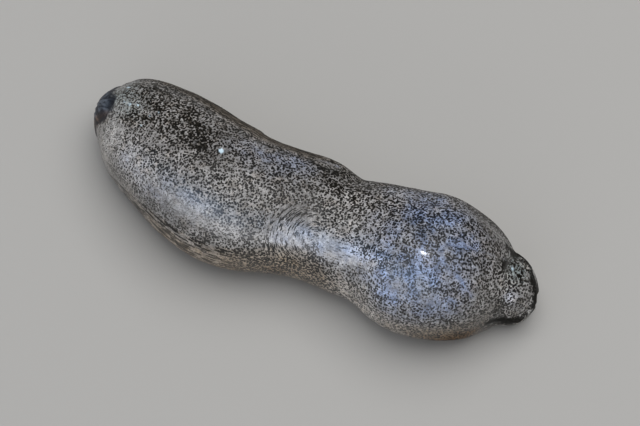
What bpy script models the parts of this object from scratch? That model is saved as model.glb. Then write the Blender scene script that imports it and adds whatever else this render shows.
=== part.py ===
"""A smooth-skinned sea cucumber lying at rest on sand, as one life-size still model.

X runs from the mouth to the tail, Y across the body and Z up from the floor. The body is one skin lofted
through named cross-sections, and it is parted across its length into the lengths a person would name.
"""

import math

import bpy
import numpy as np

MM = 0.001

# The body's cross-sections in millimetres: how far along the body (x), where the two flanks lie in plan
# (far, near), and how high the back stands (height).
SECTIONS = (
    (-59.5, 17.0, -2.2, 19.0),
    (-52.5, 19.3, -4.4, 20.5),
    (-43.5, 19.9, -9.4, 23.5),
    (-30.5, 17.6, -16.0, 26.5),
    (-16.5, 15.1, -19.8, 27.5),
    (-5.5, 15.7, -16.1, 25.5),
    (3.5, 16.0, -13.8, 24.0),
    (11.5, 15.2, -13.5, 23.5),
    (20.5, 16.9, -13.9, 25.0),
    (31.5, 18.9, -17.1, 27.5),
    (41.0, 19.3, -14.1, 27.0),
    (48.5, 17.7, -8.4, 22.5),
    (53.5, 14.6, -3.5, 18.0),
    (61.0, 13.3, 0.9, 13.5),
)
HEAD_TIP, TAIL_TIP = -60.4, 60.9
HEAD_DOME, TAIL_DOME = 11.0, 5.5  # the length over which each end rounds off
DOME_POWER = 2.3
AXIS_SHARE = 0.46  # the widest level of the flanks, as a share of the height
TOP_POWER, SOLE_POWER = 2.15, 3.0  # 2 is an ellipse, more is squarer
SOLE_FLAT = 0.35  # how far the weight presses the sole flat

# Low swellings and hollows: x, angle round the body, reach along it, reach round it in degrees, rise.
# The angle is 0 at the far flank, 90 on the back and 180 at the near flank.
SWELLINGS = (
    (3.0, 30.0, 3.5, 22.0, 0.6),
    (10.0, 42.0, 4.0, 26.0, -0.6),
    (-2.5, 62.0, 5.0, 20.0, -0.3),
    (44.0, 62.0, 8.0, 13.0, 0.5),
    (50.5, 40.0, 3.0, 30.0, -0.5),
    (-47.0, 128.0, 7.0, 25.0, 0.3),
    (-57.3, 50.0, 3.6, 34.0, -1.8),
    (34.0, 30.0, 4.0, 20.0, -0.4),
)
TAIL_CREASE_AT, TAIL_CREASE_REACH, TAIL_CREASE_DEPTH = 53.0, 1.5, 0.55
DISC_RIM_AT, DISC_RIM_REACH, DISC_RIM_DEPTH = -54.8, 0.9, 0.25

# The mouth and the vent: a pit in the middle of each end, ringed by small folds. Width and reach are shares
# of the end's half width. The folds round the mouth are the drawn-in tentacles.
MOUTH = {"width": 0.17, "depth": 2.2, "folds": 15, "reach": 0.27, "rise": 0.32}
VENT = {"width": 0.2, "depth": 1.8, "folds": 5, "reach": 0.3, "rise": 0.3}

# Where the body is parted, and the gap that keeps the lengths apart.
CUTS = (DISC_RIM_AT, -40.0, -20.0, 0.0, 20.0, 40.0, TAIL_CREASE_AT)
GAP = 0.3

# The lengths from mouth to tail, each with its sides, base colour, roughness and metallic value.
LENGTHS = (
    ("oral_disc", 60, (0.075, 0.080, 0.090), 0.30, 0.0),
    ("head_end", 48, (0.140, 0.140, 0.142), 0.34, 0.0),
    ("fore_trunk", 48, (0.145, 0.143, 0.145), 0.34, 0.0),
    ("mid_trunk", 48, (0.165, 0.163, 0.168), 0.32, 0.0),
    ("waist", 48, (0.180, 0.182, 0.195), 0.30, 0.0),
    ("hind_trunk", 48, (0.150, 0.158, 0.185), 0.28, 0.0),
    ("tail_taper", 48, (0.120, 0.124, 0.130), 0.32, 0.0),
    ("tail_knob", 60, (0.085, 0.090, 0.090), 0.30, 0.0),
)
STEP = 2.0  # the greatest distance between two rings
FINE_STEP, CREASE_SIDE = 0.75, 2.25  # beside a crease, and how far from it that holds
TIP_RINGS = 15
TIP_CROWDING = 1.35  # over 1 sets the rings closer round the mouth and the vent
SHARP_ANGLE = 50.0  # edges sharper than this, in degrees, stay crisp


def natural_spline(knots, values):
    """A natural cubic spline through the knots, as a function of x."""
    knots, values = np.array(knots), np.array(values)
    gaps = np.diff(knots)
    slopes = np.diff(values) / gaps
    count = len(knots)
    matrix, right = np.eye(count), np.zeros(count)
    for i in range(1, count - 1):
        matrix[i, i - 1 : i + 2] = gaps[i - 1], 2 * (gaps[i - 1] + gaps[i]), gaps[i]
        right[i] = 6 * (slopes[i] - slopes[i - 1])
    bend = np.linalg.solve(matrix, right)

    def at(x):
        i = int(np.clip(np.searchsorted(knots, x) - 1, 0, count - 2))
        before, after, gap = x - knots[i], knots[i + 1] - x, gaps[i]
        curve = (bend[i] * after**3 + bend[i + 1] * before**3) / (6 * gap)
        start = (values[i] / gap - bend[i] * gap / 6) * after
        end = (values[i + 1] / gap - bend[i + 1] * gap / 6) * before
        return float(curve + start + end)

    return at


far_flank, near_flank, back_height = (
    natural_spline([section[0] for section in SECTIONS], [section[column] for section in SECTIONS])
    for column in (1, 2, 3)
)


def centre_y(x):
    return (far_flank(x) + near_flank(x)) / 2


def hump(distance, reach):
    """1 at no distance, and falling smoothly away past the reach."""
    return math.exp(-((distance / reach) ** 2))


def dome_share(x):
    """How wide the body is at x as a share of its section: 1 along the body, falling to 0 at either tip."""
    share = 1.0
    for distance, length in ((x - HEAD_TIP, HEAD_DOME), (TAIL_TIP - x, TAIL_DOME)):
        if distance < length:
            share *= (1 - (1 - distance / length) ** DOME_POWER) ** (1 / DOME_POWER)
    return share


def swelling(x, angle):
    """How far the skin stands out of its section at x, in millimetres."""
    rise = 0.0
    for at, turned, along, around, height in SWELLINGS:
        away = (math.degrees(angle) - turned + 180) % 360 - 180
        rise += height * hump(x - at, along) * hump(away, around)
    rise -= TAIL_CREASE_DEPTH * hump(x - TAIL_CREASE_AT, TAIL_CREASE_REACH)
    rise -= DISC_RIM_DEPTH * hump(x - DISC_RIM_AT, DISC_RIM_REACH)
    return rise


def opening_sink(opening, share, angle):
    """How far the skin sinks in at a share of the end's width, with the folds round the opening."""
    pit = opening["depth"] * hump(share, opening["width"])
    fold = opening["rise"] * hump(share - opening["reach"], opening["reach"] / 2)
    return pit - fold * (1 + math.cos(opening["folds"] * angle)) / 2


def skin_point(x, share, angle):
    """A point of the skin, in millimetres. The angle turns from the far flank over the back."""
    half_width = (far_flank(x) - near_flank(x)) / 2
    height = back_height(x)
    axis = AXIS_SHARE * height
    across, up = math.cos(angle), math.sin(angle)
    power, rise = (TOP_POWER, height - axis) if up >= 0 else (SOLE_POWER, axis + SOLE_FLAT)
    section = (abs(across / half_width) ** power + abs(up / rise) ** power) ** (-1 / power)
    radius = share * (section + swelling(x, angle))
    slope = (centre_y(x + FINE_STEP) - centre_y(x - FINE_STEP)) / (2 * FINE_STEP)
    turn = math.hypot(1, slope)
    along = x - radius * across * slope / turn
    if share < dome_share(HEAD_TIP + HEAD_DOME / 2) and x < HEAD_TIP + HEAD_DOME:
        along += opening_sink(MOUTH, share, angle)
    if share < 1 and x > TAIL_TIP - TAIL_DOME:
        along -= opening_sink(VENT, share, angle)
    return along, centre_y(x) + radius * across / turn, max(0.0, axis + radius * up)


def tip_rings(tip, inward, length, cut):
    """The rings from a tip back to where its dome meets the cut or ends, as (x, share)."""
    reach = min(abs(cut - tip), length)
    last = math.acos((1 - reach / length) ** (DOME_POWER / 2))
    rings = []
    for ring in range(1, TIP_RINGS + 1):
        turned = last * (ring / TIP_RINGS) ** TIP_CROWDING
        distance = length * (1 - math.cos(turned) ** (2 / DOME_POWER))
        rings.append((tip + inward * distance, math.sin(turned) ** (2 / DOME_POWER)))
    return rings


def body_rings(start, end):
    """The rings between two places, closer together beside a crease."""
    places = [start]
    while places[-1] < end:
        beside = min(abs(places[-1] - TAIL_CREASE_AT), abs(places[-1] - DISC_RIM_AT))
        places.append(places[-1] + (FINE_STEP if beside < CREASE_SIDE else STEP))
    places[-1] = end
    if end - places[-2] < FINE_STEP / 2:
        del places[-2]
    return [(x, dome_share(x)) for x in places]


def skin_mesh(name, rings, sides, tip=None):
    """A closed mesh through the rings. A tip is the ring's middle that closes one end, or both are cut flat."""
    angles = [2 * math.pi * side / sides for side in range(sides)]
    points = [skin_point(x, share, angle) for x, share in rings for angle in angles]
    faces = []
    for ring in range(len(rings) - 1):
        for side in range(sides):
            after = (side + 1) % sides
            here, there = ring * sides, (ring + 1) * sides
            faces.append((here + side, here + after, there + after, there + side))
    first, last = list(range(sides)), list(range((len(rings) - 1) * sides, len(rings) * sides))
    for ring, at_tip, flip in ((first, tip == "first", True), (last, tip == "last", False)):
        loop = ring[::-1] if flip else ring
        if at_tip:
            points.append(tuple(np.mean([points[i] for i in ring], axis=0)))
            faces += [(loop[i - 1], loop[i], len(points) - 1) for i in range(sides)]
        else:
            faces.append(tuple(loop))
    mesh = bpy.data.meshes.new(name)
    mesh.from_pydata([tuple(value * MM for value in point) for point in points], [], faces)
    mesh.shade_smooth()
    mesh.set_sharp_from_angle(angle=math.radians(SHARP_ANGLE))
    return mesh


def wet_skin(name, colour, roughness, metallic):
    material = bpy.data.materials.new(name + "_skin")
    material.use_nodes = True
    shader = material.node_tree.nodes["Principled BSDF"]
    shader.inputs["Base Color"].default_value = (*colour, 1)
    shader.inputs["Roughness"].default_value = roughness
    shader.inputs["Metallic"].default_value = metallic
    return material


def rings_of(number):
    """The rings of one length of the body, counted from the mouth, and which of its ends is a tip."""
    start = CUTS[number - 1] + GAP / 2 if number > 0 else None
    end = CUTS[number] - GAP / 2 if number < len(CUTS) else None
    if start is None:
        return tip_rings(HEAD_TIP, 1, HEAD_DOME, end), "first"
    if end is None:
        tail = tip_rings(TAIL_TIP, -1, TAIL_DOME, start)[::-1]
        return body_rings(start, tail[0][0])[:-1] + tail, "last"
    return body_rings(start, end), None


def centre_on_floor(bodies):
    """Moves the middle of the body's plan over the origin. The sole is at z = 0 already."""
    points = np.array([vertex.co for body in bodies for vertex in body.data.vertices])
    middle = (points.min(axis=0) + points.max(axis=0)) / 2
    for body in bodies:
        for vertex in body.data.vertices:
            vertex.co.x -= middle[0]
            vertex.co.y -= middle[1]


def main():
    for thing in list(bpy.data.objects):
        bpy.data.objects.remove(thing)
    bodies = []
    for number, (name, sides, colour, roughness, metallic) in enumerate(LENGTHS):
        rings, tip = rings_of(number)
        body = bpy.data.objects.new(name, skin_mesh(name, rings, sides, tip))
        body.data.materials.append(wet_skin(name, colour, roughness, metallic))
        bpy.context.scene.collection.objects.link(body)
        bodies.append(body)
    centre_on_floor(bodies)


main()
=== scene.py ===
"""The looks of a smooth-skinned sea cucumber: one wet, flecked skin over the solid lengths of its body."""

import math

import bpy
import numpy as np
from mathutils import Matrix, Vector, noise


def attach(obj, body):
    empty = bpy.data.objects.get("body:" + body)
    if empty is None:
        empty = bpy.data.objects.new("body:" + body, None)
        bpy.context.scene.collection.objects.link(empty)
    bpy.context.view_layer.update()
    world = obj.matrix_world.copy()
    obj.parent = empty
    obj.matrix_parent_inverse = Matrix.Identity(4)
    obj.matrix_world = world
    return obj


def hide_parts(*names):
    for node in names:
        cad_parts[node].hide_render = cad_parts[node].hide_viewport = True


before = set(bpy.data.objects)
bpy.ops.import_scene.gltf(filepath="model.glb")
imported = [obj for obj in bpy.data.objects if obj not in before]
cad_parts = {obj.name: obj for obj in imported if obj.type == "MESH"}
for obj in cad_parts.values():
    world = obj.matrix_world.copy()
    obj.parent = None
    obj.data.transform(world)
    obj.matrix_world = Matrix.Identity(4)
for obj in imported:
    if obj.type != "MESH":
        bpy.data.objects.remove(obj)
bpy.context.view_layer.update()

MM = 0.001

# The body's cross-sections in millimetres, as in the solids: x, far flank, near flank, height of the
# back.
SECTIONS = (
    (-59.5, 17.0, -2.2, 19.0),
    (-52.5, 19.3, -4.4, 20.5),
    (-43.5, 19.9, -9.4, 23.5),
    (-30.5, 17.6, -16.0, 26.5),
    (-16.5, 15.1, -19.8, 27.5),
    (-5.5, 15.7, -16.1, 25.5),
    (3.5, 16.0, -13.8, 24.0),
    (11.5, 15.2, -13.5, 23.5),
    (20.5, 16.9, -13.9, 25.0),
    (31.5, 18.9, -17.1, 27.5),
    (41.0, 19.3, -14.1, 27.0),
    (48.5, 17.7, -8.4, 22.5),
    (53.5, 14.6, -3.5, 18.0),
    (61.0, 13.3, 0.9, 13.5),
)
HEAD_TIP, TAIL_TIP = -60.4, 60.9
HEAD_DOME, TAIL_DOME = 11.0, 5.5
DOME_POWER = 2.3
AXIS_SHARE = 0.46
TOP_POWER, SOLE_POWER = 2.15, 3.0
SOLE_FLAT = 0.35
SWELLINGS = (
    (3.0, 30.0, 3.5, 22.0, 0.6),
    (10.0, 42.0, 4.0, 26.0, -0.6),
    (-2.5, 62.0, 5.0, 20.0, -0.3),
    (44.0, 62.0, 8.0, 13.0, 0.5),
    (50.5, 40.0, 3.0, 30.0, -0.5),
    (-47.0, 128.0, 7.0, 25.0, 0.3),
    (-57.3, 50.0, 3.6, 34.0, -1.8),
    (34.0, 30.0, 4.0, 20.0, -0.4),
)
TAIL_CREASE_AT, TAIL_CREASE_REACH, TAIL_CREASE_DEPTH = 53.0, 1.5, 0.55
DISC_RIM_AT, DISC_RIM_REACH, DISC_RIM_DEPTH = -54.8, 0.9, 0.25
MOUTH = {"width": 0.17, "depth": 2.2, "folds": 15, "reach": 0.27, "rise": 0.32}
VENT = {"width": 0.2, "depth": 1.8, "folds": 5, "reach": 0.3, "rise": 0.3}

SLOPE_STEP = 0.75  # on each side of a ring, where its body's run is measured

# The skin's grid: the distance between rings, finer over the pleats of the waist, and the number of
# sides.
RING_STEP, FINE_STEP, SIDES = 0.3, 0.16, 360
PLEATS_FROM, PLEATS_TO = -12.0, 15.0
TIP_RINGS, TIP_CROWDING = 46, 1.2

# Fine ridges, creases and veins of the skin: the places each runs through, its reach, its rise and its
# shade. The shade is above nought where a crease is darkened with painted shade, and below it where the
# line is pale and free of flecks, in part as a painted highlight on a ridge.
LINES = (
    (
        ((36.9, -1.3, 27.6), (37.5, 0.8, 27.7), (42.3, 2.5, 26.3), (47.8, 5.3, 22.5), (50.6, 6.9, 19.6)),
        0.6, 0.22, -0.7,
    ),
    (
        ((37.0, 0.2, 27.7), (38.9, -3.5, 27.0), (41.2, -5.1, 26.0), (44.3, -4.9, 24.6), (47.8, -6.3, 21.1)),
        0.8, 0.14, -0.7,
    ),
    (((31.3, 8.5, 26.6), (35.1, 10.5, 26.2)), 0.45, 0.06, -0.6),
    (((34.6, 4.0, 27.7), (37.1, 5.3, 27.5), (39.5, 6.5, 27.0)), 0.4, 0.06, -0.7),
    (((-0.7, 12.2, 21.0), (1.8, 12.4, 20.8), (4.0, 12.6, 20.1)), 1.0, 0.22, -0.9),
    (
        ((49.5, 10.5, 18.8), (50.9, 10.7, 17.0), (52.6, 11.5, 14.8), (54.7, 11.1, 14.2), (56.5, 10.6, 13.2)),
        1.0, -0.45, 1.0,
    ),
    (
        ((50.9, 6.9, 19.0), (51.3, 4.3, 19.2), (52.1, 2.2, 18.3), (53.3, -1.3, 15.0), (53.6, -3.5, 11.0)),
        0.8, -0.32, 0.35,
    ),
    (((52.3, -5.3, 9.4), (55.6, -2.6, 7.6), (58.5, -0.6, 6.8)), 1.2, -0.25, 0.8),
    (((-1.8, 9.6, 22.8), (2.5, 9.3, 22.5), (5.5, 10.4, 21.4), (8.5, 13.0, 18.2)), 0.9, -0.24, 0.45),
    (((42.0, 0.0, 26.8), (44.5, 0.2, 25.4), (47.0, 1.6, 23.4), (49.8, 4.0, 20.9)), 0.9, -0.20, 0.35),
    (
        (
            (56.6, 9.3, 13.8), (58.6, 7.6, 12.4), (59.8, 5.5, 10.8),
            (60.3, 3.5, 9.0), (59.6, 1.6, 7.6), (58.0, 0.0, 6.5),
        ),
        0.9, -0.7, 1.0,
    ),
)
PALE_LINE_SHARE = 0.65  # how wide the paint of a pale line is, as a share of its ridge

# Pale lines, in part painted highlights on ridges, are broken by noise of one size, and violet skin has a
# net of pale veins along noise of another: each noise's size, then how even and how uneven the lines are,
# and the net's width and strength.
VEIN_SIZE, VEIN_EVEN, VEIN_UNEVEN = 1.9, 0.75, 1.2
NET_SIZE, NET_WIDTH, NET_STRENGTH = 6.5, 0.07, 0.7

# Beads of water that stand on the skin, each with a painted white glint: the middle of each, its reach and
# its rise. The painted glint has an uneven edge: the parts of the reach between which it ends, and how much
# and at what size noise moves it.
BEADS = (
    ((-21.7, 0.7, 27.5), 0.75, 0.25),
    ((-43.3, 3.6, 24.0), 0.35, 0.20),
    ((-41.5, 5.3, 24.3), 0.30, 0.20),
    ((-47.7, 6.0, 22.4), 0.35, 0.22),
    ((-29.3, 6.5, 25.9), 0.35, 0.20),
    ((-53.4, 11.3, 19.1), 0.45, 0.30),
    ((-50.0, 5.7, 21.6), 0.50, 0.32),
    ((-52.0, 6.4, 20.7), 0.40, 0.30),
    ((-44.0, 0.7, 23.6), 0.35, 0.18),
    ((53.3, 6.6, 17.2), 0.45, 0.28),
    ((52.2, 6.1, 17.3), 0.35, 0.22),
)
BEAD_GLINT_EDGE, BEAD_GLINT_UNEVEN, BEAD_GLINT_UNEVEN_SIZE = (1.0, 0.6), 0.55, 0.45

# Where the flecks crowd together or thin out, some thinning under painted highlights: middle and reach
# in millimetres, and the change in their share.
FLECK_SHARE = 0.43
FLECK_PATCHES = (
    ((-35.0, 5.5, 25.0), (8.0, 7.0, 8.0), 0.14),
    ((-28.3, 1.2, 27.0), (5.5, 3.5, 6.0), 0.16),
    ((-46.0, 10.0, 22.0), (7.0, 6.0, 7.0), 0.09),
    ((-48.0, 14.0, 20.5), (7.0, 3.5, 4.0), 0.12),
    ((6.0, -1.0, 23.5), (8.0, 4.0, 4.0), 0.12),
    ((8.0, 8.0, 22.3), (8.0, 4.5, 6.0), 0.14),
    ((22.0, 8.5, 24.5), (7.0, 5.0, 6.0), 0.08),
    ((33.0, 4.0, 27.5), (4.5, 4.0, 6.0), 0.10),
    ((47.0, 1.8, 24.0), (4.0, 2.2, 5.0), 0.10),
    ((32.7, 1.5, 27.7), (3.5, 2.8, 3.0), 0.10),
    ((-50.0, -3.0, 18.0), (5.0, 4.0, 5.0), -0.15),
    ((-43.0, -7.5, 19.5), (6.0, 4.0, 4.5), -0.11),
    ((-35.0, -11.5, 20.5), (6.0, 3.5, 3.5), -0.14),
    ((-26.0, -14.5, 22.0), (10.0, 3.0, 4.0), -0.18),
    ((1.5, -9.0, 21.0), (5.0, 3.0, 3.0), -0.06),
    ((12.0, -8.8, 20.6), (6.0, 2.4, 2.4), -0.22),
    ((31.0, -11.0, 24.0), (9.0, 5.0, 5.0), -0.05),
    ((-8.5, -6.5, 25.5), (9.0, 5.5, 5.0), 0.04),
    ((54.0, 4.5, 16.0), (5.0, 6.0, 6.0), 0.19),
    ((55.6, 0.6, 14.5), (2.4, 1.2, 1.6), -0.30),
)

# Where the flecks are smaller than elsewhere: middle, reach and share of the change.
SMALL_PATCHES = (
    ((34.0, -8.0, 24.0), (13.0, 8.0, 9.0), 0.6),
    ((-51.0, -4.0, 17.0), (7.0, 6.0, 8.0), 0.8),
    ((-25.0, -14.5, 21.5), (12.0, 4.0, 4.0), 0.7),
    ((5.0, -10.0, 20.5), (13.0, 4.0, 4.0), 0.9),
    ((-40.0, 6.5, 23.0), (13.0, 8.0, 8.0), 0.4),
)

# Where the skin between the flecks is duller (below nought) or paler than elsewhere, in part as painted
# highlights and painted shade: middle, reach, change.
TONE_AND_PAINTED_LIGHT_PATCHES = (
    ((-50.0, 10.0, 19.0), (9.0, 9.0, 9.0), 0.05),
    ((-36.0, 7.5, 24.5), (9.0, 7.0, 8.0), -0.12),
    ((-27.0, 4.0, 26.5), (7.0, 5.0, 7.0), -0.25),
    ((-8.0, 7.0, 24.0), (12.0, 6.0, 8.0), -0.14),
    ((-34.0, 13.5, 21.5), (6.0, 3.0, 3.0), -0.20),
    ((3.0, 12.0, 20.5), (5.0, 3.0, 3.0), 0.10),
    ((8.0, 9.0, 21.5), (10.0, 5.0, 7.0), -0.20),
    ((26.0, 11.5, 23.0), (9.0, 5.0, 7.0), 0.10),
    ((44.0, 12.0, 20.0), (6.0, 7.0, 8.0), -0.34),
    ((33.0, 2.0, 27.5), (9.0, 5.0, 7.0), -0.05),
    ((4.0, -14.0, 15.0), (14.0, 5.0, 4.0), 0.25),
    ((20.5, -13.2, 16.0), (6.0, 4.0, 6.0), 0.16),
    ((18.2, -7.4, 22.1), (3.0, 2.2, 2.5), 0.60),
    ((23.2, -8.2, 23.4), (4.2, 3.8, 3.2), 0.92),
    ((25.5, -13.5, 19.0), (3.5, 2.5, 3.5), 0.42),
    ((38.8, -9.6, 24.4), (4.5, 4.0, 4.0), 0.36),
    ((12.3, 5.3, 23.1), (2.6, 2.2, 2.6), 0.75),
    ((2.5, -3.2, 23.6), (4.0, 3.6, 3.0), -0.38),
    ((14.0, -8.5, 20.8), (2.2, 1.6, 2.0), -0.52),
    ((-20.5, -2.2, 27.4), (6.0, 3.6, 4.0), -0.34),
    ((-33.0, -1.4, 26.2), (3.0, 3.0, 3.0), -0.20),
    ((-35.0, -7.0, 24.5), (3.5, 3.5, 3.5), 0.42),
    ((-25.6, -16.5, 20.7), (4.5, 2.4, 2.6), -0.20),
    ((-24.6, -18.7, 15.8), (4.0, 2.4, 2.6), 0.20),
    ((32.7, 1.5, 27.7), (3.5, 2.8, 3.0), -0.40),
    ((45.5, -5.7, 23.5), (3.0, 3.0, 3.0), 0.42),
    ((39.4, -12.6, 21.6), (2.8, 2.6, 3.0), -0.34),
    ((57.8, 0.9, 12.0), (1.8, 2.4, 2.6), -0.45),
    ((27.0, -15.6, 16.0), (3.0, 2.2, 3.0), 0.24),
    ((31.5, -15.2, 19.2), (4.0, 2.4, 3.0), 0.24),
    ((-49.2, 0.0, 21.3), (3.5, 3.0, 3.0), -0.22),
    ((41.6, 1.8, 26.6), (2.4, 2.4, 2.4), -0.24),
    ((16.0, -13.1, 12.1), (3.0, 3.0, 3.0), -0.20),
    ((12.0, -5.3, 22.6), (2.5, 1.8, 2.4), 0.24),
    ((-30.0, -16.8, 17.5), (5.0, 2.5, 3.5), -0.18),
    ((53.0, -2.8, 14.4), (2.6, 2.6, 3.0), -0.26),
    ((54.5, 3.0, 15.0), (4.0, 8.0, 8.0), 0.10),
    ((-48.0, 14.5, 20.0), (8.0, 3.5, 4.0), -0.30),
    ((-8.5, -6.5, 25.5), (9.0, 6.0, 5.0), -0.22),
    ((36.0, -9.0, 23.0), (10.0, 6.0, 6.0), -0.14),
    ((6.0, -1.5, 23.3), (7.0, 4.0, 4.0), -0.12),
    ((-50.0, -4.0, 17.0), (6.0, 5.0, 6.0), 0.47),
    ((-41.0, -9.0, 19.5), (7.0, 4.0, 4.5), 0.26),
    ((1.5, -9.2, 20.8), (4.0, 2.4, 2.4), 0.48),
    ((8.7, -8.5, 20.6), (1.7, 1.5, 1.5), 0.40),
    ((13.7, -8.6, 20.6), (3.2, 2.2, 2.0), 0.35),
    ((-20.0, -15.0, 23.0), (4.0, 3.0, 3.0), 0.08),
    ((55.6, 0.6, 14.5), (2.6, 1.3, 1.7), 0.80),
)

# Dark stains over the saddle of the back, and painted shade in the creases of the waist and about the
# tail and a painted shadow under its knob: middle, reach and amount.
DARK_PATCHES = (
    ((-27.9, 0.0, 27.0), (3.4, 1.7, 4.0), 0.62),
    ((-33.0, 5.0, 25.5), (4.0, 2.5, 4.0), 0.10),
    ((-41.0, 10.4, 23.0), (4.0, 3.0, 4.0), 0.12),
    ((6.0, 9.8, 21.8), (4.5, 1.6, 2.5), 0.25),
    ((4.0, 7.4, 22.8), (4.0, 1.5, 2.0), 0.15),
    ((14.0, 8.0, 22.5), (3.0, 1.5, 2.5), 0.20),
    ((52.2, 9.9, 16.6), (1.7, 1.2, 1.5), 0.90),
    ((51.2, 6.0, 19.1), (1.3, 2.2, 1.6), 0.55),
    ((58.2, 7.6, 13.0), (1.6, 3.0, 2.6), 0.50),
    ((55.6, 3.0, 15.9), (0.9, 0.9, 0.9), 0.50),
    ((56.5, -1.8, 6.0), (4.5, 2.6, 3.4), 0.62),
    ((52.5, -5.2, 7.5), (3.0, 2.0, 3.0), 0.42),
    ((53.6, -3.0, 11.6), (2.2, 1.6, 2.2), 0.36),
)

# Where the skin has a lavender cast, partly its own colour and partly a painted blue sheen: middle, reach
# and amount.
VIOLET_SHEEN_PATCHES = (
    ((-31.0, -12.0, 21.5), (14.0, 5.0, 5.0), 0.22),
    ((42.0, -8.0, 24.3), (5.5, 4.0, 4.0), 0.50),
    ((41.0, 3.5, 26.8), (6.0, 4.5, 3.0), 0.42),
    ((1.5, -10.0, 20.8), (6.0, 3.0, 3.0), 0.40),
    ((13.0, -9.0, 20.8), (8.0, 3.2, 3.2), 0.36),
    ((-44.0, -8.0, 20.0), (5.0, 4.0, 4.0), 0.12),
    ((32.0, -7.0, 25.0), (11.0, 8.0, 6.0), 0.85),
    ((33.0, -12.0, 19.0), (12.0, 5.0, 7.0), 0.58),
    ((28.0, -13.0, 21.5), (6.0, 3.0, 3.0), 0.22),
    ((24.0, -13.5, 18.0), (4.0, 3.0, 4.0), -0.30),
    ((33.0, 5.0, 27.0), (10.0, 6.0, 6.0), 0.80),
    ((27.0, 12.0, 23.0), (9.0, 4.0, 4.0), 0.35),
    ((-12.0, 4.0, 26.5), (8.0, 4.0, 5.0), 0.35),
    ((-5.0, 8.0, 23.5), (6.0, 3.0, 4.0), 0.35),
    ((55.6, 0.6, 14.5), (2.6, 1.6, 1.8), 0.40),
)

# Where the skin has a greenish slate cast, with painted glints in it: middle, reach and amount.
TEAL_PATCHES = (
    ((-54.5, 9.5, 19.0), (3.5, 5.0, 4.0), 0.9),
    ((-49.0, 5.5, 21.8), (4.0, 4.0, 4.0), 0.55),
    ((54.0, 6.8, 16.4), (3.0, 3.0, 3.0), 1.0),
)

# Where the skin has lost its wet gloss: middle, reach and share.
MATT_PATCHES = (
    ((9.8, -2.8, 23.1), (2.6, 1.6, 2.0), 0.95),
    ((-17.8, -6.9, 27.1), (2.6, 2.6, 2.6), 0.95),
    ((56.5, -1.8, 6.0), (5.0, 3.0, 4.0), 0.8),
    ((46.0, -12.0, 8.0), (7.0, 5.0, 4.0), 0.9),
    ((29.0, -12.6, 22.4), (7.0, 3.5, 3.0), 0.45),
    ((38.5, -13.0, 21.4), (3.0, 3.0, 3.0), 0.40),
    ((32.7, 1.7, 27.7), (2.8, 2.4, 2.4), 0.80),
)

# Where the flecks themselves are paler, where low brown skin takes an orange painted reflection of the
# ground, and where the pale band's flecks are drawn out into strokes: middle, reach and amount.
FADED_PATCHES = (((-25.0, -14.5, 22.0), (12.0, 3.5, 3.5), 0.20),)
WARM_REFLECTION_PATCHES = (((0.0, -14.8, 9.5), (6.0, 2.5, 2.0), 0.5),)
STROKE_PATCHES = (((14.5, -9.0, 20.6), (6.0, 2.6, 2.6), 0.8),)

# Zones of the skin. Each is the product of soft steps. A step says what it measures, where its share is
# nought and where it is one. The measures are x and z in millimetres, far, which is 1 at the far side's
# edge, nought on the back and -1 at the near side's edge, and ring, which falls from 1 to nought over the
# domed tips.
ZONES = {
    "sole": (("z", 4.5, 1.0),),
    "fore_half": (("x", 12, -2),),
    "head_half": (("x", -4, -16),),
    "waist": (("x", -24, -8), ("x", 18, 9)),
    "low": (("z", 20.0, 12.0),),
    "near_side": (("far", 0.0, -0.3),),
    "near_low": (("z", 17.5, 12.0), ("far", 0.0, -0.3)),
    "faded_low": (("z", 17.5, 12.0), ("far", 0.0, -0.3), ("x", -2, -12)),
    "warm_reflecting_low": (("x", 34, 46), ("z", 13.0, 9.0), ("far", 0.0, -0.5), ("x", 54, 49)),
    "fore_far_rim": (("far", 0.66, 0.78), ("x", -46, -36), ("x", 2, -4)),
    "hind_far_rim": (("far", 0.70, 0.82), ("x", 8, 16)),
    "dark_far_line": (("x", -50, -40), ("x", 2, -4)),
    "matt_far_side": (("far", 0.5, 0.8),),
    "far_edge": (("far", 0.6, 0.92),),
    "combed_far_edge": (("far", 0.84, 0.96),),
    "tips": (("ring", 0.85, 0.45),),
}
FAR_LINE_AT, FAR_LINE_WIDTH = 0.65, 0.05  # of a thin dark line, as far is measured

# The near flank's duller foot: its height at some places along the body, and half its edge's width.
FOOT_AT = (-56.0, -49.0, -42.0, -33.0, -27.0, -10.0, 0.0, 9.0, 15.0, 21.0, 30.0, 46.0)
FOOT_HEIGHT = (3.0, 8.5, 12.7, 16.3, 17.0, 17.4, 18.8, 18.8, 12.5, 8.0, 8.0, 7.0)
FOOT_EDGE = 0.6

# Low on the near flank: how much paler the skin is at some places along the body, as painted light, or
# darker, as painted shade, and how much browner, partly as a painted warm reflection from the ground.
RIM_AT = (-45.0, -30.0, -15.0, 12.0, 18.0, 27.0, 34.0, 40.0, 46.0, 50.0, 54.0)
RIM_PAINTED_LIGHT = (0.02, 0.26, 0.20, 0.36, 0.95, 1.00, 0.50, 0.05, -0.35, -0.30, 0.0)
RIM_BROWN_REFLECTION = (0.2, 0.65, 0.65, 0.65, 0.25, 0.25, 0.50, 0.80, 0.95, 0.50, 0.0)

# The oval of smooth slate-dark skin round the mouth: its middle (y, z), its reach, the x it lies before,
# and where its reach grows or shrinks: the angle, the spread of the change and the change.
DISC_MIDDLE, DISC_REACH, DISC_BEFORE = (7.5, 9.6), 7.9, -48
DISC_BULGES = ((64.0, 26.0, 2.4), (134.0, 30.0, -1.3), (5.0, 26.0, -1.4))

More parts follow.
